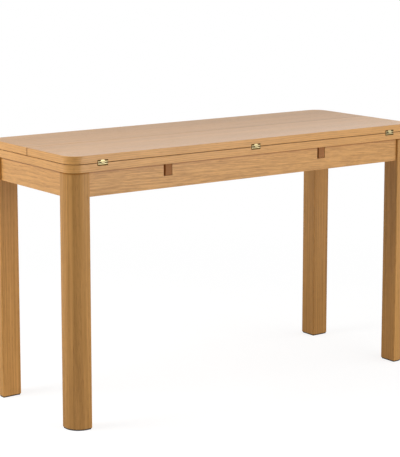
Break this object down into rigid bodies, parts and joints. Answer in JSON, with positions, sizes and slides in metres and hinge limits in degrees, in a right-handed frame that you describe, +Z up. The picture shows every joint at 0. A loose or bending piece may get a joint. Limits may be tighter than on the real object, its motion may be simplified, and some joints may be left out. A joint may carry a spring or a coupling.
{
  "type": "extending dining table",
  "caption": "Narrow oak table with fold-over leaves: each leaf flips outwards on brass hinges and rests on pull-out lopers; square legs with rounded outer corners.",
  "frame": {"origin": "middle of the footprint on the floor, under the centre of the folded table", "axes": "+X along the table's length, +Y from front to back, +Z up"},
  "size_m": [1.25, 0.4668, 0.76],
  "materials": {
    "oak": "satin lacquered oak",
    "loper_wood": "oiled brown hardwood",
    "guide_wood": "plain sanded wood",
    "brass": "polished",
    "steel": "zinc plated",
    "felt": "dark felt"
  },
  "bodies": {
    "frame": {"fixed_top": "oak", "leg_front_left": "oak", "leg_front_right": "oak", "leg_rear_left": "oak", "leg_rear_right": "oak", "apron_front": "oak", "apron_rear": "oak", "apron_left": "oak", "apron_right": "oak", "glide_front_left": "felt", "glide_front_right": "felt", "glide_rear_left": "felt", "glide_rear_right": "felt", "corner_block_front_left": "guide_wood", "corner_block_front_right": "guide_wood", "corner_block_rear_left": "guide_wood", "corner_block_rear_right": "guide_wood", "corner_bolt_front_left": "steel", "corner_bolt_front_right": "steel", "corner_bolt_rear_left": "steel", "corner_bolt_rear_right": "steel", "guide_left_outer": "guide_wood", "guide_left_middle": "guide_wood", "guide_left_inner": "guide_wood", "guide_right_inner": "guide_wood", "guide_right_middle": "guide_wood", "guide_right_outer": "guide_wood", "keeper_left_front": "guide_wood", "keeper_left_rear": "guide_wood", "keeper_right_front": "guide_wood", "keeper_right_rear": "guide_wood", "hinge_base_plate_front_left": "brass", "hinge_base_plate_front_middle": "brass", "hinge_base_plate_front_right": "brass", "hinge_base_plate_rear_left": "brass", "hinge_base_plate_rear_middle": "brass", "hinge_base_plate_rear_right": "brass", "hinge_pin_front_left": "brass", "hinge_pin_front_middle": "brass", "hinge_pin_front_right": "brass", "hinge_pin_rear_left": "brass", "hinge_pin_rear_middle": "brass", "hinge_pin_rear_right": "brass"},
    "front_leaf": {"front_leaf": "oak", "hinge_leaf_plate_front_left": "brass", "hinge_leaf_plate_front_middle": "brass", "hinge_leaf_plate_front_right": "brass"},
    "rear_leaf": {"rear_leaf": "oak", "hinge_leaf_plate_rear_left": "brass", "hinge_leaf_plate_rear_middle": "brass", "hinge_leaf_plate_rear_right": "brass"},
    "loper_front_left": {"loper_front_left": "loper_wood", "stop_pin_front_left": "guide_wood"},
    "loper_front_right": {"loper_front_right": "loper_wood", "stop_pin_front_right": "guide_wood"},
    "loper_rear_left": {"loper_rear_left": "loper_wood", "stop_pin_rear_left": "guide_wood"},
    "loper_rear_right": {"loper_rear_right": "loper_wood", "stop_pin_rear_right": "guide_wood"}
  },
  "joints": [
    {"name": "front_leaf_fold", "type": "hinge", "parent": "frame", "child": "front_leaf", "pos_m": [0, -0.231, 0.73725], "axis": [1, 0, 0], "range_deg": [0, 180]},
    {"name": "rear_leaf_fold", "type": "hinge", "parent": "frame", "child": "rear_leaf", "pos_m": [0, 0.231, 0.73725], "axis": [-1, 0, 0], "range_deg": [0, 180]},
    {"name": "loper_front_left_slide", "type": "slide", "parent": "frame", "child": "loper_front_left", "axis": [0, -1, 0], "range_m": [0, 0.201]},
    {"name": "loper_front_right_slide", "type": "slide", "parent": "frame", "child": "loper_front_right", "axis": [0, -1, 0], "range_m": [0, 0.201]},
    {"name": "loper_rear_left_slide", "type": "slide", "parent": "frame", "child": "loper_rear_left", "axis": [0, 1, 0], "range_m": [0, 0.201]},
    {"name": "loper_rear_right_slide", "type": "slide", "parent": "frame", "child": "loper_rear_right", "axis": [0, 1, 0], "range_m": [0, 0.201]}
  ]
}
